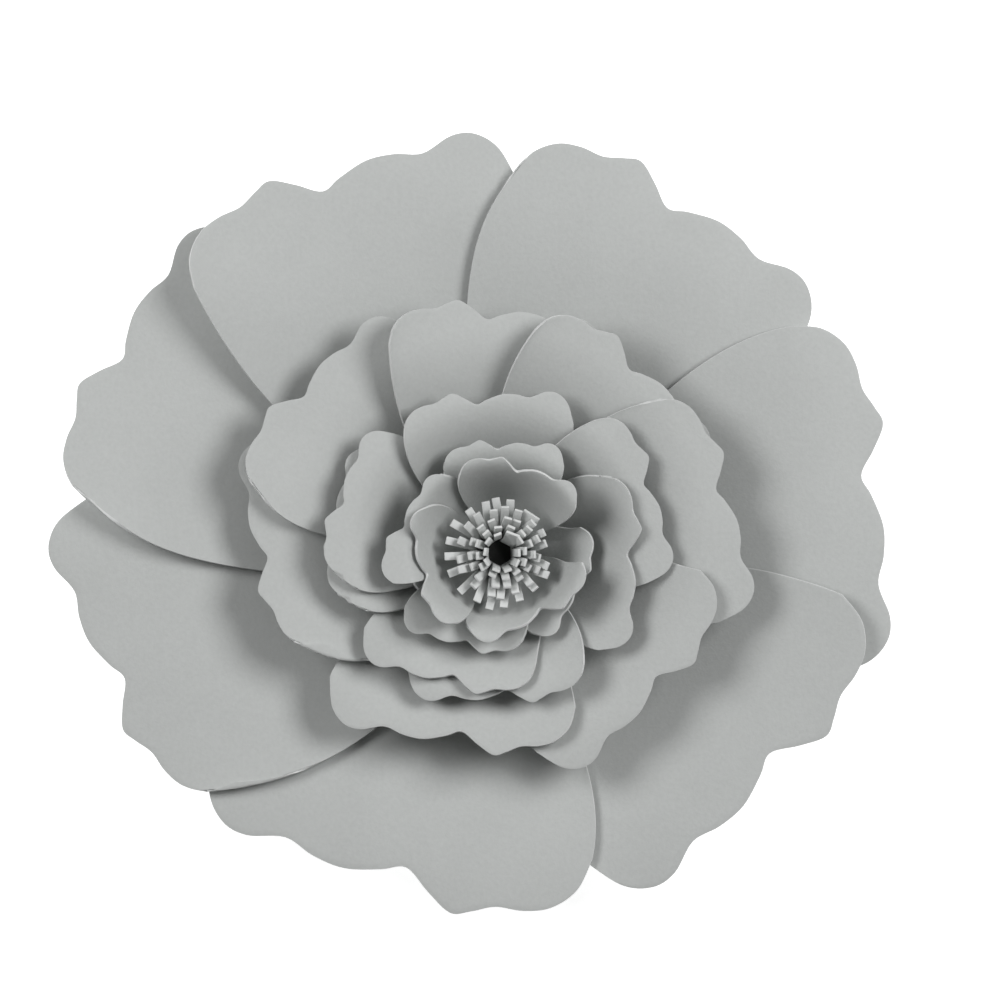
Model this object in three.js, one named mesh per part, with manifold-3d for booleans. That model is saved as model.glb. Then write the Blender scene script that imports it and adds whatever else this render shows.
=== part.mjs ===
// A large paper flower, about 300 mm wide, that lies face up on its backing disc.
// Every petal is the same die cut at one of four sizes. Three rings of seven petals overlap
// like a turning fan, two inner rings of four stand round a centre of rolled, fringed strip.
// Millimetres, +Z out of the face of the flower, origin at the middle of the disc's back.

import * as THREE from "three";
import { mergeVertices } from "three/addons/utils/BufferGeometryUtils.js";
import Module from "manifold-3d";

const wasm = await Module();
wasm.setup();

// ---- sheet and disc ----
const SHEET = 1.0;
const DISC_RADIUS = 30;
const DISC_THICKNESS = 2.2;
const DISC_SIDES = 48;

// ---- the die: rim of the petal in units of its width, from the left shoulder round to the
// right one. Zero height is the bottom of the deep valley beside the middle. ----
const RIM = [
  [-0.5, -0.17], // side
  [-0.488, -0.085],
  [-0.44, -0.022], // left shoulder
  [-0.375, 0.008],
  [-0.305, 0.02], // shallow valley
  [-0.25, 0.05],
  [-0.2, 0.07], // round lobe
  [-0.13, 0.037],
  [-0.06, -0.004], // deep valley
  [0.0, 0.02],
  [0.09, 0.046], // broad lobe
  [0.175, 0.04],
  [0.255, 0.018], // shallow valley
  [0.35, 0.043], // small lobe
  [0.42, 0.028],
  [0.475, -0.035], // right shoulder
  [0.5, -0.15], // side
];
const FOOT_WIDTH = 0.18; // of the petal's width
const GAP_GROWTH = 2.5; // the gap is full before the steep part of the bowl

// ---- rings: each is a bowl that starts flat at the foot, rises and is flat again at the rim ----
const RINGS = {
  outer: { footRadius: 21, footHeight: 4.4, rimRadius: 136, rimHeight: 30, swell: 0.85,
    footGap: 1.5, rimGap: 3.0, start: 347, spin: 1, rows: 5 },
  second: { footRadius: 11, footHeight: 8.6, rimRadius: 78, rimHeight: 41.5, swell: 0.9,
    footGap: 1.5, rimGap: 4.2, start: 302, spin: 1, rows: 7 },
  third: { footRadius: 8, footHeight: 14.6, rimRadius: 54.3, rimHeight: 47.2, swell: 1.0,
    footGap: 1.5, rimGap: 4.0, start: 261, spin: 1, rows: 8 },
  fourth: { footRadius: 7, footHeight: 19.0, rimRadius: 37.4, rimHeight: 45.4, swell: 1.05,
    footGap: 1.5, rimGap: 3.2, start: 0, spin: 0, rows: 7 },
  inner: { footRadius: 6, footHeight: 23.2, rimRadius: 32.5, rimHeight: 55.5, swell: 1.3,
    footGap: 1.5, rimGap: 4.0, start: 0, spin: 0, rows: 7 },
};

// One petal: azimuth is clockwise from +Y, reach is from the flower's axis to the deep valley,
// shift moves the rim sideways. bulge below 1 widens the petal near the foot, belly pushes the
// free left edge out, layer raises the whole petal by that many gaps, lift raises the free edge.
function placed(azimuth, reach, width, shift, shape = {}) {
  return { azimuth, reach, width, shift, bulge: 0.75, belly: 0, layer: 0, lift: 0, ...shape };
}

// Petals in clockwise order.
const PETALS = {
  outer: [
    placed(343, 139, 120, -15, { bulge: 0.62, lift: 12 }),
    placed(33, 134, 118, -8, { bulge: 0.68, belly: 3, lift: 1 }),
    placed(85, 131, 124, -7, { bulge: 1.0 }),
    placed(135, 120, 131, -9, { bulge: 1.1, belly: -3, lift: 3 }),
    placed(198, 118, 140, 4, { bulge: 1.05, belly: -1.5 }),
    placed(244, 139, 113, 23, { bulge: 0.65, belly: 3, lift: 2 }),
    placed(302.5, 148, 108, -8.5, { bulge: 0.55, belly: 5, lift: 6 }),
  ],
  second: [
    placed(315.5, 86, 78, -6.5, { belly: 3, lift: 2 }),
    placed(6, 80, 75, -7.5, { bulge: 0.6, lift: 8 }),
    placed(43, 78, 76, -4.5, { lift: 6 }),
    placed(74, 80, 81, 6, { bulge: 0.85, lift: 1 }),
    placed(133, 72, 86, 0, { bulge: 0.9, belly: -4 }),
    placed(188, 66, 87, 8.5, { bulge: 1.1, belly: -3, lift: 1 }),
    placed(258, 80, 75, 18, { bulge: 0.6, belly: 6, lift: 2 }),
  ],
  third: [
    placed(282, 56, 53, -1, { bulge: 0.45, belly: 4 }),
    placed(291.5, 56, 52.5, -2, { bulge: 0.58, belly: 4 }),
    placed(356, 51, 59.5, 0, { lift: 1 }),
    placed(73, 56, 60, -3, { lift: 1 }),
    placed(92, 46, 61, 4),
    placed(178, 50, 62, 2, { lift: 1 }),
    placed(193, 47, 61.5, 8.4, { belly: -1.5 }),
  ],
  fourth: [
    placed(0, 35, 42, 2.5, { layer: 1 }),
    placed(116, 30, 41, 1, { belly: -2 }),
    placed(194, 34, 43, 5, { layer: 1 }),
    placed(298, 22, 42, -5),
  ],
  inner: [
    placed(17, 28, 42, 1, { layer: 1 }),
    placed(152, 26, 46, -1, { bulge: 1.1, belly: -4 }),
    placed(258, 26, 42, -1.5, { layer: 1 }),
    placed(301, 32, 42, -8),
  ],
};

// ---- fringed roll ----
const ROLL_BASE = 30;
const ROLL_X = 1.0; // the roll stands a little beside the flower's axis
const ROLL_Y = -1.7;
const OPEN_SIDE = 235; // bearing of the side where the fringe stands open widest
const OPEN_SIDE_LEAN = 0.35;
const ROLL_TILT = 3; // degrees the roll leans towards +X
const CORNERS = 6; // the first turns of the stiff strip fold into corners
const CORNERED_TURNS = 2.0;
const ROLL_INNER = 4.0;
const ROLL_PITCH = 1.26;
const ROLL_TURNS = 5.16;
const BAND_STEPS_PER_TURN = 18;
const STRIP = 1.0;
const BAND_HEIGHT = 8.5;
const TAB_LENGTH = 15.5;
const TAB_PITCH = 3.1;
const TAB_WIDTH = 2.7;
const TAB_THICKNESS = 0.9;
const TAB_STATIONS = 3;
const TAB_ROOT = 1.0; // how far a tab is sunk in the band
const START_TAB_WIDTH = 5.0; // the strip starts and ends in a wider tab
const START_TAB_LEAN = 0.45;
const END_TAB_WIDTH = 6.4;
const INNER_LEAN = 0.15; // radians the tip of an inner tab is bent outwards
const OUTER_LEAN = 1.35;
const LEAN_GROWTH = 1.6;
const WELD = 1e-3;

const NEARLY_STRAIGHT = 1e-6; // keeps the arc of an unbent tab finite
const SLOPE_STEP = 1e-3; // step for the direction of a sheet at a point
const SHEET_COLOUR = 0xdcddda;
const BOARD_COLOUR = 0x3f403f;

const COLUMNS = RIM.length - 1;
const rimCurve = new THREE.SplineCurve(RIM.map(([x, y]) => new THREE.Vector2(x, y)));
const flower = new THREE.Group();
flower.name = "giant_paper_flower";

const mix = THREE.MathUtils.lerp;
const clamp = THREE.MathUtils.clamp;

function paper(color) {
  return new THREE.MeshStandardMaterial({ color, roughness: 0.9, metalness: 0 });
}

function addMesh(name, geometry, color) {
  const mesh = new THREE.Mesh(geometry, paper(color));
  mesh.name = name;
  flower.add(mesh);
}

// Difference of two bearings in degrees, from -180 to 180.
function turnBetween(from, to) {
  return THREE.MathUtils.euclideanModulo(to - from + 180, 360) - 180;
}

// A point on the middle of a petal's sheet. across runs 0..1 along the rim, along runs from
// the foot at 0 to the rim at 1.
function petalPoint(ring, petal, level, across, along) {
  const rim = rimCurve.getPoint(clamp(across, 0, 1));
  const spread = Math.sin((Math.PI / 2) * along ** petal.bulge);
  const side = mix(FOOT_WIDTH * (across - 0.5), rim.x, spread);
  const edge = Math.max(0, -2 * side);
  const belly = petal.belly * edge ** 2 * Math.sin(Math.PI * along ** 2);
  const sideways = side * petal.width + petal.shift * along - belly;
  const outwards = mix(ring.footRadius, petal.reach + petal.width * rim.y, along);
  const bearing = THREE.MathUtils.degToRad(petal.azimuth);
  const x = outwards * Math.sin(bearing) + sideways * Math.cos(bearing);
  const y = outwards * Math.cos(bearing) - sideways * Math.sin(bearing);
  const radius = Math.hypot(x, y);
  const climb = Math.max(0, (radius - ring.footRadius) / (ring.rimRadius - ring.footRadius));
  const bowl = (1 - Math.cos(Math.PI * Math.min(climb, 1) ** ring.swell)) / 2;
  const gap = mix(ring.footGap, ring.rimGap, Math.min(climb * GAP_GROWTH, 1));
  const here = THREE.MathUtils.radToDeg(Math.atan2(x, y));
  const tilt = petal.layer
    - (ring.spin * turnBetween(ring.start + level * ring.pitch, here)) / ring.pitch;
  const z = mix(ring.footHeight, ring.rimHeight, bowl) + gap * tilt
    + petal.lift * edge ** 2 * along;
  return new THREE.Vector3(x, y, z);
}

// A closed sheet of even thickness about the surface that point(across, along) gives.
function sheetGeometry(point, columns, rows, thickness) {
  const positions = [];
  const index = [];
  const corner = (side, row, column) => (side * (rows + 1) + row) * (columns + 1) + column;
  for (const side of [0, 1]) {
    for (let row = 0; row <= rows; row += 1) {
      for (let column = 0; column <= columns; column += 1) {
        const s = column / columns;
        const t = row / rows;
        const p = point(s, t);
        const s0 = Math.max(0, s - SLOPE_STEP);
        const s1 = Math.min(1, s + SLOPE_STEP);
        const t0 = Math.max(0, t - SLOPE_STEP);
        const t1 = Math.min(1, t + SLOPE_STEP);
        const acrossWay = point(s1, t).sub(point(s0, t));
        const alongWay = point(s, t1).sub(point(s, t0));
        const normal = acrossWay.cross(alongWay).normalize();
        p.addScaledVector(normal, (side - 0.5) * thickness);
        positions.push(p.x, p.y, p.z);
      }
    }
  }
  const quad = (a, b, c, d) => index.push(a, b, c, a, c, d);
  for (let row = 0; row < rows; row += 1) {
    for (let column = 0; column < columns; column += 1) {
      quad(corner(1, row, column), corner(1, row, column + 1),
        corner(1, row + 1, column + 1), corner(1, row + 1, column));
      quad(corner(0, row, column), corner(0, row + 1, column),
        corner(0, row + 1, column + 1), corner(0, row, column + 1));
    }
  }
  for (let column = 0; column < columns; column += 1) {
    quad(corner(0, 0, column), corner(0, 0, column + 1),
      corner(1, 0, column + 1), corner(1, 0, column));
    quad(corner(0, rows, column), corner(1, rows, column),
      corner(1, rows, column + 1), corner(0, rows, column + 1));
  }
  for (let row = 0; row < rows; row += 1) {
    quad(corner(0, row, 0), corner(1, row, 0), corner(1, row + 1, 0), corner(0, row + 1, 0));
    quad(corner(0, row, columns), corner(0, row + 1, columns),
      corner(1, row + 1, columns), corner(1, row, columns));
  }
  const geometry = new THREE.BufferGeometry();
  geometry.setAttribute("position", new THREE.Float32BufferAttribute(positions, 3));
  geometry.setIndex(index);
  geometry.computeVertexNormals();
  return geometry;
}

for (const [ringName, petals] of Object.entries(PETALS)) {
  const ring = RINGS[ringName];
  ring.pitch = 360 / petals.length;
  petals.forEach((petal, level) => {
    const point = (across, along) => petalPoint(ring, petal, level, across, along);
    addMesh(`petal_${ringName}_${level + 1}`,
      sheetGeometry(point, COLUMNS, ring.rows, SHEET), SHEET_COLOUR);
  });
}

// ---- backing disc ----
const disc = new THREE.CylinderGeometry(DISC_RADIUS, DISC_RADIUS, DISC_THICKNESS, DISC_SIDES);
disc.rotateX(Math.PI / 2);
disc.translate(0, 0, DISC_THICKNESS / 2);
addMesh("backing_disc", disc, BOARD_COLOUR);

// ---- fringed roll: a strip wound in a flat spiral, its top edge slit into tabs that lean out
// further on every turn ----
function spiralRadius(turn) {
  const side = (2 * Math.PI) / CORNERS;
  const flat = ((2 * Math.PI * turn) % side) - side / 2;
  const fold = Math.max(0, 1 - turn / CORNERED_TURNS);
  return (ROLL_INNER + ROLL_PITCH * turn) * mix(1, 1 / Math.cos(flat), fold);
}

function spiralPoint(turn, offset) {
  const radius = spiralRadius(turn) + offset;
  const angle = 2 * Math.PI * turn;
  return new THREE.Vector2(radius * Math.sin(angle), radius * Math.cos(angle));
}

function toManifold(geometry) {
  const bare = new THREE.BufferGeometry();
  const loose = geometry.index ? geometry.toNonIndexed() : geometry;
  bare.setAttribute("position", loose.getAttribute("position"));
  const merged = mergeVertices(bare, WELD);
  return new wasm.Manifold(new wasm.Mesh({
    numProp: 3,
    vertProperties: merged.getAttribute("position").array,
    triVerts: new Uint32Array(merged.index.array),
  }));
}

function toGeometry(solid) {
  const mesh = solid.getMesh();
  const geometry = new THREE.BufferGeometry();
  geometry.setAttribute("position", new THREE.Float32BufferAttribute(mesh.vertProperties, 3));
  geometry.setIndex(Array.from(mesh.triVerts));
  geometry.computeVertexNormals();
  return geometry;
}

function bandSolid() {
  const steps = Math.round(ROLL_TURNS * BAND_STEPS_PER_TURN);
  const rimPoints = [];
  for (const side of [1, -1]) {
    for (let step = 0; step <= steps; step += 1) {
      const turn = (ROLL_TURNS * (side > 0 ? step : steps - step)) / steps;
      rimPoints.push(spiralPoint(turn, (side * STRIP) / 2));
    }
  }
  const band = new THREE.ExtrudeGeometry(new THREE.Shape(rimPoints), {
    depth: BAND_HEIGHT,
    bevelEnabled: false,
    curveSegments: 1,
  });
  return toManifold(band);
}

// The share of a turn that a length of strip takes up.
function turnsOf(length, turn) {
  return length / (2 * Math.PI * spiralRadius(turn));
}

function tabLean(turn) {
  const growth = (turn / ROLL_TURNS) ** LEAN_GROWTH;
  const openness = Math.cos(2 * Math.PI * turn - THREE.MathUtils.degToRad(OPEN_SIDE));
  return mix(INNER_LEAN, OUTER_LEAN, growth) * (1 + OPEN_SIDE_LEAN * growth * openness);
}

// One tab: it leaves the band upright and bends outwards in an even curve.
function tabSolid(turn, width, lean) {
  const angle = 2 * Math.PI * turn;
  const tab = (across, along) => {
    const bend = lean * along + NEARLY_STRAIGHT;
    const reach = (TAB_LENGTH * along * (1 - Math.cos(bend))) / bend;
    const rise = (TAB_LENGTH * along * Math.sin(bend)) / bend;
    const radius = spiralRadius(turn) + reach;
    const sideways = (across - 0.5) * width;
    return new THREE.Vector3(
      radius * Math.sin(angle) + sideways * Math.cos(angle),
      radius * Math.cos(angle) - sideways * Math.sin(angle),
      BAND_HEIGHT - TAB_ROOT + rise,
    );
  };
  return toManifold(sheetGeometry(tab, 1, TAB_STATIONS, TAB_THICKNESS));
}

function rollSolid() {
  const first = turnsOf(START_TAB_WIDTH / 2, 0);
  const last = ROLL_TURNS - turnsOf(END_TAB_WIDTH / 2, ROLL_TURNS);
  const end = last - turnsOf((END_TAB_WIDTH + TAB_WIDTH) / 2, last);
  const solids = [
    bandSolid(),
    tabSolid(first, START_TAB_WIDTH, START_TAB_LEAN),
    tabSolid(last, END_TAB_WIDTH, tabLean(last)),
  ];
  let turn = first + turnsOf((START_TAB_WIDTH + TAB_PITCH) / 2, first);
  while (turn < end) {
    solids.push(tabSolid(turn, TAB_WIDTH, tabLean(turn)));
    turn += turnsOf(TAB_PITCH, turn);
  }
  return wasm.Manifold.union(solids).rotate([0, ROLL_TILT, 0])
    .translate([ROLL_X, ROLL_Y, ROLL_BASE]);
}

addMesh("stamen_roll", toGeometry(rollSolid()), SHEET_COLOUR);

export default flower;
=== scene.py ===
import math
import random

import bpy
from bpy.props import (
    FloatProperty,
    FloatVectorProperty,
    IntProperty,
    PointerProperty,
)
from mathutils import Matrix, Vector


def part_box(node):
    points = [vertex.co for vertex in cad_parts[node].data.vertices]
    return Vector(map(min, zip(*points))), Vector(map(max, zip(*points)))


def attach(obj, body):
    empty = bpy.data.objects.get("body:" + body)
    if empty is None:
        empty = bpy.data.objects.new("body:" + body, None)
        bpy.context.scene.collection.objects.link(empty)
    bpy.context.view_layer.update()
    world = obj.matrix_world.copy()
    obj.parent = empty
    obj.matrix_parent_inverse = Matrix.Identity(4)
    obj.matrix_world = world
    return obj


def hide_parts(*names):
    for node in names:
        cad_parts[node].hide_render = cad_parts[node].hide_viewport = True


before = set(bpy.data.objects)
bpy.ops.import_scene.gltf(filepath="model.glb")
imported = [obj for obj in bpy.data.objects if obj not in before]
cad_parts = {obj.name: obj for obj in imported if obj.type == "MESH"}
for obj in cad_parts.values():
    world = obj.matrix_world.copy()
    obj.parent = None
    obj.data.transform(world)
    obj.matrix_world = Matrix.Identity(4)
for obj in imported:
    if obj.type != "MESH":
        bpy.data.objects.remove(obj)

bl_info = {
    "name": "Giant Paper Flower",
    "version": (1, 0, 0),
    "blender": (4, 5, 0),
    "location": "3D View > Sidebar > Flower",
    "description": "Builds a layered paper flower with wavy petals and a fringed centre",
    "category": "Add Mesh",
}

MM = 0.001
BODY = "root"

# The die: rim of a petal in units of its width, from the left side round to the right one.
# Zero height is the bottom of the deep valley beside the middle.
RIM = [
    (-0.5, -0.17),
    (-0.488, -0.085),
    (-0.44, -0.022),
    (-0.375, 0.008),
    (-0.305, 0.02),
    (-0.25, 0.05),
    (-0.2, 0.07),
    (-0.13, 0.037),
    (-0.06, -0.004),
    (0.0, 0.02),
    (0.09, 0.046),
    (0.175, 0.04),
    (0.255, 0.018),
    (0.35, 0.043),
    (0.42, 0.028),
    (0.475, -0.035),
    (0.5, -0.15),
]
FOOT_WIDTH = 0.18  # of the petal's width
GAP_GROWTH = 2.5  # the gap between petals is full before the steep part of the bowl

# Each ring is a bowl: flat at the foot, rising, and flat again at the rim. Millimetres.
RINGS = {
    "outer": dict(foot_radius=21, foot_height=4.4, rim_radius=136, rim_height=30, swell=0.85,
                  foot_gap=1.5, rim_gap=3.0, start=347, spin=1),
    "second": dict(foot_radius=11, foot_height=8.6, rim_radius=78, rim_height=41.5, swell=0.9,
                   foot_gap=1.5, rim_gap=4.2, start=302, spin=1),
    "third": dict(foot_radius=8, foot_height=14.6, rim_radius=54.3, rim_height=47.2, swell=1.0,
                  foot_gap=1.5, rim_gap=4.0, start=261, spin=1),
    "fourth": dict(foot_radius=7, foot_height=19.0, rim_radius=37.4, rim_height=45.4, swell=1.05,
                   foot_gap=1.5, rim_gap=3.2, start=0, spin=0),
    "inner": dict(foot_radius=6, foot_height=23.2, rim_radius=32.5, rim_height=55.5, swell=1.3,
                  foot_gap=1.5, rim_gap=4.0, start=0, spin=0),
}


def placed(azimuth, reach, width, shift, bulge=0.75, belly=0, layer=0, lift=0):
    """One petal: bearing clockwise from +Y, reach of its deep valley, width, sideways shift."""
    return dict(azimuth=azimuth, reach=reach, width=width, shift=shift, bulge=bulge,
                belly=belly, layer=layer, lift=lift)


# Petals in clockwise order. lift raises the free left edge.
PETALS = {
    "outer": [
        placed(343, 139, 120, -15, bulge=0.62, lift=12),
        placed(33, 134, 118, -8, bulge=0.68, belly=3, lift=1),
        placed(85, 131, 124, -7, bulge=1.0),
        placed(135, 120, 131, -9, bulge=1.1, belly=-3, lift=3),
        placed(198, 118, 140, 4, bulge=1.05, belly=-1.5),
        placed(244, 139, 113, 23, bulge=0.65, belly=3, lift=2),
        placed(302.5, 148, 108, -8.5, bulge=0.55, belly=5, lift=6),
    ],
    "second": [
        placed(315.5, 86, 78, -6.5, belly=3, lift=2),
        placed(6, 80, 75, -7.5, bulge=0.6, lift=8),
        placed(43, 78, 76, -4.5, lift=6),
        placed(74, 80, 81, 6, bulge=0.85, lift=1),
        placed(133, 72, 86, 0, bulge=0.9, belly=-4),
        placed(188, 66, 87, 8.5, bulge=1.1, belly=-3, lift=1),
        placed(258, 80, 75, 18, bulge=0.6, belly=6, lift=2),
    ],
    "third": [
        placed(282, 56, 53, -1, bulge=0.45, belly=4),
        placed(291.5, 56, 52.5, -2, bulge=0.58, belly=4),
        placed(356, 51, 59.5, 0, lift=1),
        placed(73, 56, 60, -3, lift=1),
        placed(92, 46, 61, 4),
        placed(178, 50, 62, 2, lift=1),
        placed(193, 47, 61.5, 8.4, belly=-1.5),
    ],
    "fourth": [
        placed(0, 35, 42, 2.5, layer=1),
        placed(116, 30, 41, 1, belly=-2),
        placed(194, 34, 43, 5, layer=1),
        placed(298, 22, 42, -5),
    ],
    "inner": [
        placed(17, 28, 42, 1, layer=1),
        placed(152, 26, 46, -1, bulge=1.1, belly=-4),
        placed(258, 26, 42, -1.5, layer=1),
        placed(301, 32, 42, -8),
    ],
}

# The fringed roll, in millimetres.
ROLL_BASE = 30.0
ROLL_AT = (1.0, -1.7)  # middle of the roll beside the flower's axis
ROLL_INNER = 4.0
ROLL_PITCH = 1.26
ROLL_TURNS = 5.16
BAND_HEIGHT = 8.5
TAB_ROOT = 1.0
INNER_LEAN = 0.15
OUTER_LEAN = 1.35
LEAN_GROWTH = 1.6
START_TAB_WIDTH = 5.0  # the strip starts and ends in a wider tab
START_TAB_LEAN = 0.45
END_TAB_WIDTH = 6.4
OPEN_SIDE = 235  # bearing of the side where the fringe stands open widest
OPEN_SIDE_LEAN = 0.35
ROLL_TILT = 3  # degrees the roll leans towards +X
CORNERS = 6  # the first turns of the stiff strip fold into corners
CORNERED_TURNS = 2.0
BAND_STEPS_PER_TURN = 48
BAND_ROWS = 6
TAB_BENDS = (0.12, 0.24, 0.36, 0.48, 0.6, 0.72, 0.84)  # shares of its length a tab can bend at
TAB_EDGE_ROUND = 0.15 * MM
NEARLY_STRAIGHT = 1e-6  # keeps the arc of an unbent tab finite

# How unevenly the tabs stand.
TURN_SCATTER = 0.03  # radians
LEAN_SCATTER = 0.1  # share of the lean
LENGTH_SCATTER = 0.06  # share of the length
TWIST_SCATTER = 0.2  # radians at the tip

# Painted shade: the board is near-black so that the bottom of the hole in the middle of the
# roll, where the disc shows, reads dark.
HOLE_SHADE_BOARD_COLOUR = (0.05, 0.052, 0.05)
BOARD_EDGE_ROUND = 0.3 * MM
SMOOTH_ANGLE = math.radians(35)  # sharper edges than this stay sharp
BEVEL_ANGLE = math.radians(60)

# The two softboxes: bearings clockwise from +Y, climb above the floor, distance in metres.
KEY_BEARING = 65
FILL_BEARING = -65
LIGHT_CLIMB = 46
LIGHT_DISTANCE = 1.1

# The stage, in metres.
FLOOR_SIZE = 6.0
FLOOR_DROP = 0.1 * MM  # the floor is just clear of the disc's back
CAMERA_AT = (0.0012, 0.0168)
RIM_HEIGHT = 0.028  # height at which the view has its stated width
CAMERA_REACH = 20.0


# ---------------------------------------------------------------- sizes and colours
class FlowerSheet(bpy.types.PropertyGroup):
    """The sheet that the petals are cut from."""

    thickness: FloatProperty(
        name="Thickness", description="Thickness of the sheet",
        default=1.0 * MM, min=0.2 * MM, unit="LENGTH", precision=5)
    edge_round: FloatProperty(
        name="Edge Round", description="How far the die rounds over the cut edge",
        default=0.45 * MM, min=0.0, unit="LENGTH", precision=5)
    columns: IntProperty(
        name="Columns", description="Faces across a petal", default=96, min=16)
    rows: IntProperty(
        name="Rows", description="Faces from the foot to the rim", default=40, min=8)
    colour: FloatVectorProperty(
        name="Colour", description="Colour of the sheet's face",
        default=(0.468, 0.481, 0.473), size=3, min=0, max=1, subtype="COLOR")
    # Painted highlight: the cut edge is coloured lighter than the face to stand for the light
    # its rounded edge catches.
    edge_highlight_colour: FloatVectorProperty(
        name="Cut Edge Colour", description="Colour of the freshly cut edge",
        default=(0.6, 0.61, 0.605), size=3, min=0, max=1, subtype="COLOR")


class FlowerRoll(bpy.types.PropertyGroup):
    """The rolled, fringed strip in the centre."""

    strip: FloatProperty(
        name="Strip Thickness", description="Thickness of the strip",
        default=1.0 * MM, min=0.2 * MM, unit="LENGTH", precision=5)
    tab_length: FloatProperty(
        name="Tab Length", description="Depth of the slits that make the fringe",
        default=17 * MM, min=1 * MM, unit="LENGTH", precision=5)
    tab_width: FloatProperty(
        name="Tab Width", description="Width of one tab of the fringe",
        default=2.8 * MM, min=0.5 * MM, unit="LENGTH", precision=5)
    tab_pitch: FloatProperty(
        name="Tab Pitch", description="Distance from slit to slit along the strip",
        default=3.1 * MM, min=0.5 * MM, unit="LENGTH", precision=5)
    seed: IntProperty(
        name="Seed", description="Changes how unevenly the tabs stand", default=7, min=0)
    colour: FloatVectorProperty(
        name="Colour", description="Colour of the fringed strip",
        default=(0.62, 0.633, 0.625), size=3, min=0, max=1, subtype="COLOR")


class FlowerStage(bpy.types.PropertyGroup):
    """Floor, light and camera."""

    floor_colour: FloatVectorProperty(
        name="Floor Colour", description="Colour of the floor",
        default=(0.6, 0.6, 0.6), size=3, min=0, max=1, subtype="COLOR")
    floor_glow: FloatProperty(
        name="Floor Glow", description="Light that the floor gives of itself",
        default=0.8, min=0.0)
    sky: FloatProperty(
        name="Room Light", description="Even light from all round", default=0.14, min=0.0)
    key_power: FloatProperty(
        name="Key Softbox", description="Power of the softbox at the upper right",
        default=8.0, min=0.0, unit="POWER")
    fill_power: FloatProperty(
        name="Fill Softbox", description="Power of the softbox at the upper left",
        default=6.3, min=0.0, unit="POWER")
    softbox_size: FloatProperty(
        name="Softbox Size", description="Diameter of both softboxes",
        default=0.55, min=0.1, unit="LENGTH")
    distance: FloatProperty(
        name="Camera Distance", description="Camera above the flower's back",
        default=2.0, min=0.5, unit="LENGTH")
    width: FloatProperty(
        name="View Width", description="Width of what the camera sees at the outer rims",
        default=0.3542, min=0.05, unit="LENGTH", precision=5)


# ---------------------------------------------------------------- helpers
def deselect_all():
    """Nothing selected and nothing active."""
    for thing in bpy.context.selected_objects:
        thing.select_set(False)
    bpy.context.view_layer.objects.active = None


def select_only(*things):
    """Selects these objects and makes the first one active."""
    deselect_all()
    for thing in things:
        thing.select_set(True)
    bpy.context.view_layer.objects.active = things[0]


def apply_modifier(thing, kind, **settings):
    """Adds a modifier, sets it and applies it to the mesh."""
    select_only(thing)
    bpy.ops.object.modifier_add(type=kind)
    modifier = thing.modifiers[-1]
    for key, value in settings.items():
        setattr(modifier, key, value)
    bpy.ops.object.modifier_apply(modifier=modifier.name)


def finish_piece(piece, name, node):
    """Names a finished piece and ties it to the CAD node it stands for."""
    piece.name = name
    piece.data.name = name
    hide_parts(node)
    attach(piece, BODY)


def mix(low, high, share):
    """A value between low and high."""
    return low + (high - low) * share


def turn_between(start, end):
    """Difference of two bearings in degrees, from -180 to 180."""
    return (end - start + 180) % 360 - 180


def rim_point(across):
    """A smooth curve through the die's rim points, across from 0 to 1."""
    spans = len(RIM) - 1
    place = min(max(across, 0.0), 1.0) * spans
    index = min(int(place), spans - 1)
    t = place - index
    before = RIM[max(index - 1, 0)]
    start = RIM[index]
    end = RIM[index + 1]
    after = RIM[min(index + 2, spans)]
    point = []
    for axis in (0, 1):
        v0 = (end[axis] - before[axis]) / 2
        v1 = (after[axis] - start[axis]) / 2
        a, b = start[axis], end[axis]
        point.append((2 * a - 2 * b + v0 + v1) * t ** 3
                     + (-3 * a + 3 * b - 2 * v0 - v1) * t ** 2 + v0 * t + a)
    return point


def petal_point(ring, pitch, level, petal, across, along):
    """A point on the middle of a petal's sheet, in millimetres."""
    rim_x, rim_y = rim_point(across)
    spread = math.sin(math.pi / 2 * along ** petal["bulge"])
    side = mix(FOOT_WIDTH * (across - 0.5), rim_x, spread)
    edge = max(0.0, -2 * side)
    belly = petal["belly"] * edge ** 2 * math.sin(math.pi * along ** 2)
    sideways = side * petal["width"] + petal["shift"] * along - belly
    outwards = mix(ring["foot_radius"], petal["reach"] + petal["width"] * rim_y, along)
    bearing = math.radians(petal["azimuth"])
    x = outwards * math.sin(bearing) + sideways * math.cos(bearing)
    y = outwards * math.cos(bearing) - sideways * math.sin(bearing)
    span = ring["rim_radius"] - ring["foot_radius"]
    climb = max(0.0, (math.hypot(x, y) - ring["foot_radius"]) / span)
    bowl = (1 - math.cos(math.pi * min(climb, 1) ** ring["swell"])) / 2
    gap = mix(ring["foot_gap"], ring["rim_gap"], min(climb * GAP_GROWTH, 1))
    here = math.degrees(math.atan2(x, y))
    fan = ring["spin"] * turn_between(ring["start"] + level * pitch, here) / pitch
    z = (mix(ring["foot_height"], ring["rim_height"], bowl) + gap * (petal["layer"] - fan)
         + petal["lift"] * edge ** 2 * along)
    return x, y, z


# ---------------------------------------------------------------- materials
def new_material(name):
    """An empty node material with its output and Principled shader."""
    material = bpy.data.materials.new(name)
    material.use_nodes = True
    nodes = material.node_tree.nodes
    nodes.clear()
    output = nodes.new("ShaderNodeOutputMaterial")
    output.location = (900, 0)
    shader = nodes.new("ShaderNodeBsdfPrincipled")
    shader.location = (600, 0)
    material.node_tree.links.new(shader.outputs["BSDF"], output.inputs["Surface"])
    return material, nodes, material.node_tree.links, shader


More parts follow.
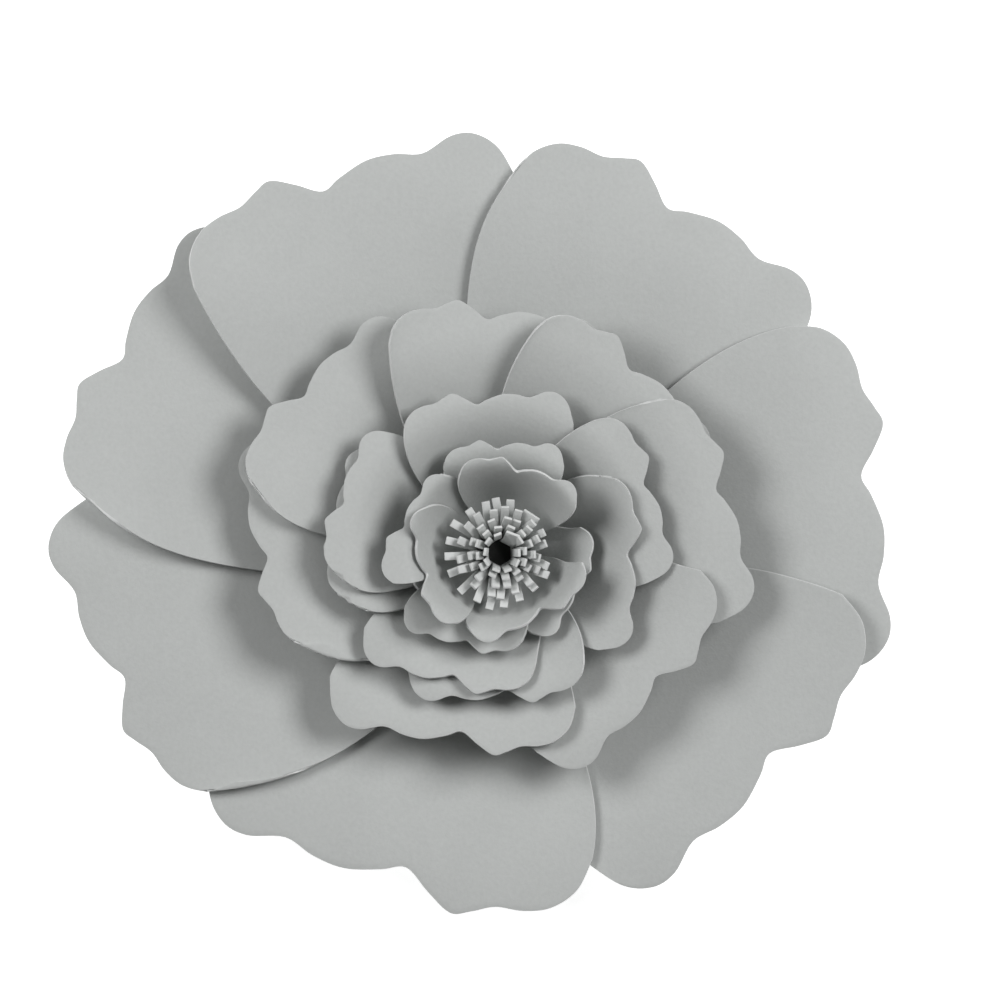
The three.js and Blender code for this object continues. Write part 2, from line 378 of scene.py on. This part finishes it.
def add_noise(nodes, links, coordinates, scale, detail, x, y):
    """A noise texture on the piece's own coordinates."""
    noise = nodes.new("ShaderNodeTexNoise")
    noise.location = (x, y)
    noise.inputs["Scale"].default_value = scale
    noise.inputs["Detail"].default_value = detail
    links.new(coordinates.outputs["Object"], noise.inputs["Vector"])
    return noise


CLOUD_SCALE = 28.0
FIBRE_SCALE = 700.0
TOOTH_SCALE = 1500.0


def sheet_material(name, colour, mottle=0.13, grain=0.2):
    """Matt craft sheet: soft mottling, fine fibre grain and a barely uneven face."""
    material, nodes, links, shader = new_material(name)
    coordinates = nodes.new("ShaderNodeTexCoord")
    coordinates.location = (-900, 0)
    clouds = add_noise(nodes, links, coordinates, CLOUD_SCALE, 3.0, -700, 300)
    fibre = add_noise(nodes, links, coordinates, FIBRE_SCALE, 2.0, -700, 0)
    tooth = add_noise(nodes, links, coordinates, TOOTH_SCALE, 2.0, -700, -300)
    shade = nodes.new("ShaderNodeMix")
    shade.data_type = "RGBA"
    shade.location = (0, 200)
    dark = [channel * (1 - mottle) for channel in colour]
    light = [min(channel * (1 + mottle), 1) for channel in colour]
    shade.inputs["A"].default_value = (*dark, 1)
    shade.inputs["B"].default_value = (*light, 1)
    blend = nodes.new("ShaderNodeMath")
    blend.operation = "MULTIPLY_ADD"
    blend.location = (-300, 200)
    blend.inputs[1].default_value = 0.45
    links.new(clouds.outputs["Fac"], blend.inputs[0])
    scaled = nodes.new("ShaderNodeMath")
    scaled.operation = "MULTIPLY"
    scaled.location = (-500, 0)
    scaled.inputs[1].default_value = 0.55
    links.new(fibre.outputs["Fac"], scaled.inputs[0])
    links.new(scaled.outputs["Value"], blend.inputs[2])
    links.new(blend.outputs["Value"], shade.inputs["Factor"])
    links.new(shade.outputs["Result"], shader.inputs["Base Color"])
    rough = nodes.new("ShaderNodeMapRange")
    rough.location = (0, -100)
    rough.inputs["To Min"].default_value = 0.8
    rough.inputs["To Max"].default_value = 0.95
    links.new(fibre.outputs["Fac"], rough.inputs["Value"])
    links.new(rough.outputs["Result"], shader.inputs["Roughness"])
    bump = nodes.new("ShaderNodeBump")
    bump.location = (300, -300)
    bump.inputs["Strength"].default_value = grain
    bump.inputs["Distance"].default_value = 0.4 * MM
    links.new(fibre.outputs["Fac"], bump.inputs["Height"])
    fine = nodes.new("ShaderNodeBump")
    fine.location = (100, -400)
    fine.inputs["Strength"].default_value = grain
    fine.inputs["Distance"].default_value = 0.15 * MM
    links.new(tooth.outputs["Fac"], fine.inputs["Height"])
    links.new(fine.outputs["Normal"], bump.inputs["Normal"])
    links.new(bump.outputs["Normal"], shader.inputs["Normal"])
    shader.inputs["Specular IOR Level"].default_value = 0.25
    return material


def sheet_materials():
    """The two finishes of the petal sheet, made once: its face and its cut edge, which is
    coloured lighter than the face as a painted highlight.
    """
    sheet = bpy.context.scene.flower_sheet
    face = bpy.data.materials.get("sheet_face")
    if face is None:
        face = sheet_material("sheet_face", sheet.colour)
    # The lighter edge finish is a painted highlight along the cut edge.
    edge = bpy.data.materials.get("cut_edge_highlight")
    if edge is None:
        edge = sheet_material("cut_edge_highlight", sheet.edge_highlight_colour, grain=0.02)
    return face, edge


# ---------------------------------------------------------------- petals
def petal_blank():
    """The uncut blank that every petal starts as: a flat unit square, finely gridded."""
    blank = bpy.data.objects.get("petal_blank")
    if blank is None:
        sheet = bpy.context.scene.flower_sheet
        deselect_all()
        bpy.ops.mesh.primitive_grid_add(
            x_subdivisions=sheet.columns, y_subdivisions=sheet.rows, size=1.0)
        blank = bpy.context.active_object
        blank.name = "petal_blank"
    return blank


def cut_petal(blank, ring, pitch, level, petal):
    """A copy of the blank, cut to the die and bent to its place in the flower."""
    piece = blank.copy()
    piece.data = blank.data.copy()
    bpy.context.collection.objects.link(piece)
    for vertex in piece.data.vertices:
        across, along = vertex.co.x + 0.5, vertex.co.y + 0.5
        point = petal_point(ring, pitch, level, petal, across, max(along, 0.0))
        vertex.co = Vector(point) * MM
    piece.data.update()
    return piece


def thicken(piece, thickness, edge_round):
    """Gives the cut shape its thickness and softens the cut edge."""
    face, edge = sheet_materials()
    piece.data.materials.clear()
    piece.data.materials.append(face)
    piece.data.materials.append(edge)
    # The side of the cut edge and its rounding take the lighter edge finish, a painted
    # highlight.
    apply_modifier(piece, "SOLIDIFY", thickness=thickness, offset=0.0,
                   use_quality_normals=True, material_offset_rim=1)
    apply_modifier(piece, "BEVEL", width=edge_round, segments=2, limit_method="ANGLE",
                   angle_limit=BEVEL_ANGLE, material=1)
    select_only(piece)
    bpy.ops.object.shade_smooth_by_angle(angle=SMOOTH_ANGLE)


class PetalRing:
    """Builds one ring of petals. The subclasses name the ring."""

    bl_options = {"REGISTER", "UNDO"}
    ring_name = ""

    def execute(self, context):
        sheet = context.scene.flower_sheet
        ring = RINGS[self.ring_name]
        petals = PETALS[self.ring_name]
        blank = petal_blank()
        for level, petal in enumerate(petals):
            node = f"petal_{self.ring_name}_{level + 1}"
            piece = cut_petal(blank, ring, 360 / len(petals), level, petal)
            thicken(piece, sheet.thickness, sheet.edge_round)
            finish_piece(piece, f"sheet_{node}", node)
        return {"FINISHED"}


class FLOWER_OT_outer_petals(PetalRing, bpy.types.Operator):
    """Seven large outer petals, fanned clockwise"""

    bl_idname = "flower.outer_petals"
    bl_label = "Outer Petals"
    ring_name = "outer"


class FLOWER_OT_second_petals(PetalRing, bpy.types.Operator):
    """Seven petals of the second ring"""

    bl_idname = "flower.second_petals"
    bl_label = "Second Ring"
    ring_name = "second"


class FLOWER_OT_third_petals(PetalRing, bpy.types.Operator):
    """Seven petals of the third ring, set in close pairs"""

    bl_idname = "flower.third_petals"
    bl_label = "Third Ring"
    ring_name = "third"


class FLOWER_OT_fourth_petals(PetalRing, bpy.types.Operator):
    """Four petals of the fourth ring"""

    bl_idname = "flower.fourth_petals"
    bl_label = "Fourth Ring"
    ring_name = "fourth"


class FLOWER_OT_inner_petals(PetalRing, bpy.types.Operator):
    """Four small petals that cup the centre"""

    bl_idname = "flower.inner_petals"
    bl_label = "Inner Petals"
    ring_name = "inner"


# ---------------------------------------------------------------- fringed roll
def spiral_radius(turn):
    """Radius of the middle of the rolled strip after so many turns, in millimetres."""
    side = 2 * math.pi / CORNERS
    flat = (2 * math.pi * turn) % side - side / 2
    fold = max(0.0, 1 - turn / CORNERED_TURNS)
    return (ROLL_INNER + ROLL_PITCH * turn) * mix(1, 1 / math.cos(flat), fold)


def roll_band(strip):
    """The solid lower part of the strip, wound up."""
    steps = int(ROLL_TURNS * BAND_STEPS_PER_TURN)
    deselect_all()
    bpy.ops.mesh.primitive_grid_add(x_subdivisions=steps, y_subdivisions=BAND_ROWS, size=1.0)
    band = bpy.context.active_object
    for vertex in band.data.vertices:
        turn = (vertex.co.x + 0.5) * ROLL_TURNS
        height = (vertex.co.y + 0.5) * BAND_HEIGHT
        angle = 2 * math.pi * turn
        radius = spiral_radius(turn)
        vertex.co = Vector((ROLL_AT[0] + radius * math.sin(angle),
                            ROLL_AT[1] + radius * math.cos(angle),
                            ROLL_BASE + height)) * MM
    apply_modifier(band, "SOLIDIFY", thickness=strip, offset=0.0)
    return band


def straight_tab(roll):
    """One tab of the fringe, flat and upright, before it is bent."""
    deselect_all()
    bpy.ops.mesh.primitive_cube_add(size=1.0)
    tab = bpy.context.active_object
    bpy.ops.transform.resize(value=(roll.tab_width, roll.strip, roll.tab_length))
    bpy.ops.object.transform_apply(location=False, rotation=False, scale=True)
    apply_modifier(tab, "BEVEL", width=TAB_EDGE_ROUND, segments=2, limit_method="ANGLE")
    select_only(tab)
    bpy.ops.object.mode_set(mode="EDIT")
    for share in TAB_BENDS:
        bpy.ops.mesh.select_all(action="SELECT")
        height = (share - 0.5) * roll.tab_length
        bpy.ops.mesh.bisect(plane_co=(0, 0, height), plane_no=(0, 0, 1))
    bpy.ops.object.mode_set(mode="OBJECT")
    return tab


def turns_of(length, turn):
    """The share of a turn that a length of strip takes up."""
    return length / (2 * math.pi * spiral_radius(turn))


def tab_lean(turn):
    """How far the tip of a tab is bent outwards, in radians."""
    growth = (turn / ROLL_TURNS) ** LEAN_GROWTH
    openness = math.cos(2 * math.pi * turn - math.radians(OPEN_SIDE))
    return mix(INNER_LEAN, OUTER_LEAN, growth) * (1 + OPEN_SIDE_LEAN * growth * openness)


def bend_tab(pattern, turn, roll, chance, width, lean):
    """A copy of the straight tab, bent outwards at its place on the strip."""
    tab = pattern.copy()
    tab.data = pattern.data.copy()
    bpy.context.collection.objects.link(tab)
    angle = 2 * math.pi * turn + chance.uniform(-TURN_SCATTER, TURN_SCATTER)
    lean *= 1 + chance.uniform(-LEAN_SCATTER, LEAN_SCATTER)
    length = roll.tab_length / MM
    length *= 1 + chance.uniform(-LENGTH_SCATTER, LENGTH_SCATTER)
    widen = width / (roll.tab_width / MM)
    twist = chance.uniform(-TWIST_SCATTER, TWIST_SCATTER)
    for vertex in tab.data.vertices:
        x, y, z = (part / MM for part in vertex.co)
        x *= widen
        along = z / (roll.tab_length / MM) + 0.5
        bend = lean * along + NEARLY_STRAIGHT
        reach = length * along * (1 - math.cos(bend)) / bend
        rise = length * along * math.sin(bend) / bend
        swing = twist * along
        sideways = x * math.cos(swing) + reach * math.sin(swing)
        proud = y * math.cos(bend)
        radius = spiral_radius(turn) + reach * math.cos(swing) - x * math.sin(swing) + proud
        height = ROLL_BASE + BAND_HEIGHT - TAB_ROOT + rise - y * math.sin(bend)
        vertex.co = Vector((ROLL_AT[0] + radius * math.sin(angle) + sideways * math.cos(angle),
                            ROLL_AT[1] + radius * math.cos(angle) - sideways * math.sin(angle),
                            height)) * MM
    return tab


class FLOWER_OT_stamen_roll(bpy.types.Operator):
    """The rolled, fringed strip in the middle"""

    bl_idname = "flower.stamen_roll"
    bl_label = "Fringed Roll"
    bl_options = {"REGISTER", "UNDO"}

    def execute(self, context):
        roll = context.scene.flower_roll
        chance = random.Random(roll.seed)
        band = roll_band(roll.strip)
        pattern = straight_tab(roll)
        parts = [band]
        pitch, width = roll.tab_pitch / MM, roll.tab_width / MM
        first = turns_of(START_TAB_WIDTH / 2, 0)
        last = ROLL_TURNS - turns_of(END_TAB_WIDTH / 2, ROLL_TURNS)
        end = last - turns_of((END_TAB_WIDTH + width) / 2, last)
        parts.append(bend_tab(pattern, first, roll, chance, START_TAB_WIDTH, START_TAB_LEAN))
        turn = first + turns_of((START_TAB_WIDTH + pitch) / 2, first)
        while turn < end:
            parts.append(bend_tab(pattern, turn, roll, chance, width, tab_lean(turn)))
            turn += turns_of(pitch, turn)
        parts.append(bend_tab(pattern, last, roll, chance, END_TAB_WIDTH, tab_lean(last)))
        bpy.data.objects.remove(pattern)
        select_only(*parts)
        bpy.ops.object.join()
        base = (ROLL_AT[0] * MM, ROLL_AT[1] * MM, ROLL_BASE * MM)
        bpy.ops.transform.rotate(value=-math.radians(ROLL_TILT), orient_axis="Y",
                                 center_override=base)
        bpy.ops.object.transform_apply(location=True, rotation=True, scale=True)
        band.data.materials.clear()
        band.data.materials.append(sheet_material("fringe_strip", roll.colour))
        bpy.ops.object.shade_smooth_by_angle(angle=SMOOTH_ANGLE)
        finish_piece(band, "fringed_roll", "stamen_roll")
        return {"FINISHED"}


# ---------------------------------------------------------------- backing disc
class FLOWER_OT_backing_disc(bpy.types.Operator):
    """The board disc behind the flower"""

    bl_idname = "flower.backing_disc"
    bl_label = "Backing Disc"
    bl_options = {"REGISTER", "UNDO"}

    def execute(self, context):
        low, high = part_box("backing_disc")
        deselect_all()
        bpy.ops.mesh.primitive_cylinder_add(
            vertices=128, radius=(high.x - low.x) / 2, depth=high.z - low.z,
            location=((low + high) / 2))
        disc = bpy.context.active_object
        bpy.ops.object.transform_apply(location=True, rotation=True, scale=True)
        apply_modifier(disc, "BEVEL", width=BOARD_EDGE_ROUND, segments=3, limit_method="ANGLE",
                       angle_limit=BEVEL_ANGLE)
        select_only(disc)
        bpy.ops.object.shade_smooth_by_angle(angle=SMOOTH_ANGLE)
        # The near-black board finish is painted shade for the bottom of the hole in the centre.
        disc.data.materials.append(
            sheet_material("backing_board", HOLE_SHADE_BOARD_COLOUR, mottle=0.1, grain=0.1))
        finish_piece(disc, "board_disc", "backing_disc")
        return {"FINISHED"}


# ---------------------------------------------------------------- stage
def add_softbox(name, bearing, power, size):
    """A round softbox that looks down at the flower. The bearing is clockwise from +Y."""
    turn, climb = math.radians(bearing), math.radians(LIGHT_CLIMB)
    way = Vector((math.sin(turn) * math.cos(climb), math.cos(turn) * math.cos(climb),
                  math.sin(climb)))
    deselect_all()
    bpy.ops.object.light_add(type="AREA", location=way * LIGHT_DISTANCE)
    softbox = bpy.context.active_object
    softbox.name = name
    softbox.data.shape = "DISK"
    softbox.data.size = size
    softbox.data.energy = power
    softbox.rotation_euler = (-way).to_track_quat("-Z", "Y").to_euler()


class FLOWER_OT_stage(bpy.types.Operator):
    """Floor, two softboxes and the camera"""

    bl_idname = "flower.stage"
    bl_label = "Stage"
    bl_options = {"REGISTER", "UNDO"}

    def execute(self, context):
        stage = context.scene.flower_stage
        scene = context.scene
        scene.view_settings.view_transform = "Standard"
        deselect_all()
        bpy.ops.mesh.primitive_plane_add(size=FLOOR_SIZE, location=(0, 0, -FLOOR_DROP))
        floor = context.active_object
        floor.name = "floor"
        material, _, _, shader = new_material("floor_paint")
        shader.inputs["Base Color"].default_value = (*stage.floor_colour, 1)
        shader.inputs["Roughness"].default_value = 0.9
        shader.inputs["Emission Color"].default_value = (1, 1, 1, 1)
        shader.inputs["Emission Strength"].default_value = stage.floor_glow
        floor.data.materials.append(material)
        world = bpy.data.worlds.new("studio")
        scene.world = world
        world.use_nodes = True
        background = world.node_tree.nodes["Background"]
        background.inputs["Color"].default_value = (1, 1, 1, 1)
        background.inputs["Strength"].default_value = stage.sky
        add_softbox("key_softbox", KEY_BEARING, stage.key_power, stage.softbox_size)
        add_softbox("fill_softbox", FILL_BEARING, stage.fill_power, stage.softbox_size)
        deselect_all()
        bpy.ops.object.camera_add(location=(*CAMERA_AT, stage.distance))
        camera = context.active_object
        camera.data.lens = camera.data.sensor_width * (stage.distance - RIM_HEIGHT) / stage.width
        camera.data.clip_end = CAMERA_REACH
        scene.camera = camera
        deselect_all()
        return {"FINISHED"}


class FLOWER_PT_panel(bpy.types.Panel):
    """Lists the steps in the sidebar."""

    bl_label = "Paper Flower"
    bl_idname = "FLOWER_PT_panel"
    bl_space_type = "VIEW_3D"
    bl_region_type = "UI"
    bl_category = "Flower"

    def draw(self, context):
        column = self.layout.column()
        for step in STEPS:
            column.operator(step.bl_idname)


STEPS = (
    FLOWER_OT_backing_disc,
    FLOWER_OT_outer_petals,
    FLOWER_OT_second_petals,
    FLOWER_OT_third_petals,
    FLOWER_OT_fourth_petals,
    FLOWER_OT_inner_petals,
    FLOWER_OT_stamen_roll,
    FLOWER_OT_stage,
)
GROUPS = {"flower_sheet": FlowerSheet, "flower_roll": FlowerRoll, "flower_stage": FlowerStage}


def register():
    """Registers the classes and hangs the settings on the scene."""
    for name, group in GROUPS.items():
        bpy.utils.register_class(group)
        setattr(bpy.types.Scene, name, PointerProperty(type=group))
    for step in STEPS:
        bpy.utils.register_class(step)
    bpy.utils.register_class(FLOWER_PT_panel)


def unregister():
    """Takes the classes and settings away again."""
    bpy.utils.unregister_class(FLOWER_PT_panel)
    for step in reversed(STEPS):
        bpy.utils.unregister_class(step)
    for name, group in GROUPS.items():
        delattr(bpy.types.Scene, name)
        bpy.utils.unregister_class(group)


def main():
    """Builds the flower step by step."""
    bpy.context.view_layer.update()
    register()
    bpy.ops.flower.backing_disc()
    bpy.ops.flower.outer_petals()
    bpy.ops.flower.second_petals()
    bpy.ops.flower.third_petals()
    bpy.ops.flower.fourth_petals()
    bpy.ops.flower.inner_petals()
    bpy.data.objects.remove(bpy.data.objects["petal_blank"])
    bpy.ops.flower.stamen_roll()
    bpy.ops.flower.stage()


if __name__ == "__main__":
    main()
